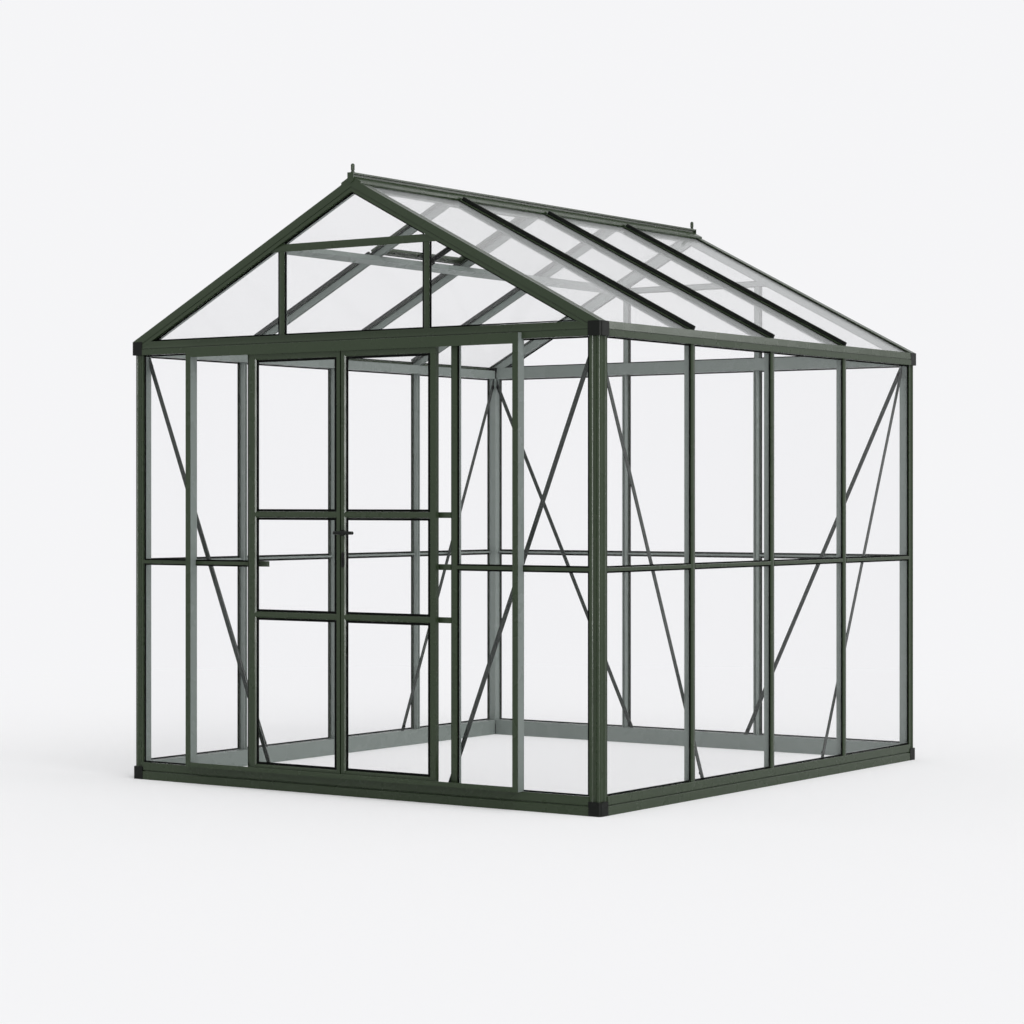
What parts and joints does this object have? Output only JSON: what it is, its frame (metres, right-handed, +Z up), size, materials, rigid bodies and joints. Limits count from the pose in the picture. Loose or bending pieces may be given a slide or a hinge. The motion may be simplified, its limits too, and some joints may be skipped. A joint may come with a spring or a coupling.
{
  "type": "greenhouse",
  "caption": "Glazed garden greenhouse with a dark green aluminium frame, pitched roof, braced walls, a roof vent and a pair of sliding front doors.",
  "frame": {"origin": "ground level, in the middle of the overall box", "axes": "+Z up, the doors face -Y, +X to the right as seen from the front"},
  "size_m": [2.3, 2.6231, 2.4474],
  "materials": {
    "green_frame": "satin powder coat",
    "glass": "clear",
    "black_plastic": "moulded",
    "black_fittings": "satin"
  },
  "bodies": {
    "house": {"base_front": "green_frame", "base_back": "green_frame", "base_left": "green_frame", "base_right": "green_frame", "base_corner_shoes": "black_plastic", "corner_posts": "green_frame", "eave_front": "green_frame", "eave_back": "green_frame", "gutter_left": "green_frame", "gutter_right": "green_frame", "eave_corner_caps": "black_plastic", "left_wall_bars": "green_frame", "right_wall_bars": "green_frame", "back_wall_bars": "green_frame", "door_jambs": "green_frame", "mid_rails": "green_frame", "wall_braces": "green_frame", "front_rafters": "green_frame", "back_rafters": "green_frame", "front_gable_frame": "green_frame", "back_gable_frame": "green_frame", "roof_bars_left": "green_frame", "roof_bars_right": "green_frame", "ridge": "green_frame", "ridge_finials": "green_frame", "vent_bar": "green_frame", "roof_vent_frame": "green_frame", "roof_vent_glass": "glass", "vent_opener": "black_fittings", "left_wall_glass": "glass", "right_wall_glass": "glass", "back_wall_glass": "glass", "front_wall_glass": "glass", "gable_glass": "glass", "roof_glass_left": "glass", "roof_glass_right": "glass", "door_head_track": "green_frame", "door_sill_track": "green_frame", "track_end_posts": "green_frame"},
    "left_door": {"left_door_frame": "green_frame", "left_door_glass": "glass", "left_door_rollers": "black_plastic"},
    "right_door": {"right_door_frame": "green_frame", "right_door_glass": "glass", "right_door_rollers": "black_plastic", "door_handle": "black_fittings"}
  },
  "joints": [
    {"name": "left_door_slide", "type": "slide", "parent": "house", "child": "left_door", "axis": [-1, 0, 0], "range_m": [0, 0.3]},
    {"name": "right_door_slide", "type": "slide", "parent": "house", "child": "right_door", "axis": [1, 0, 0], "range_m": [0, 0.3]}
  ]
}
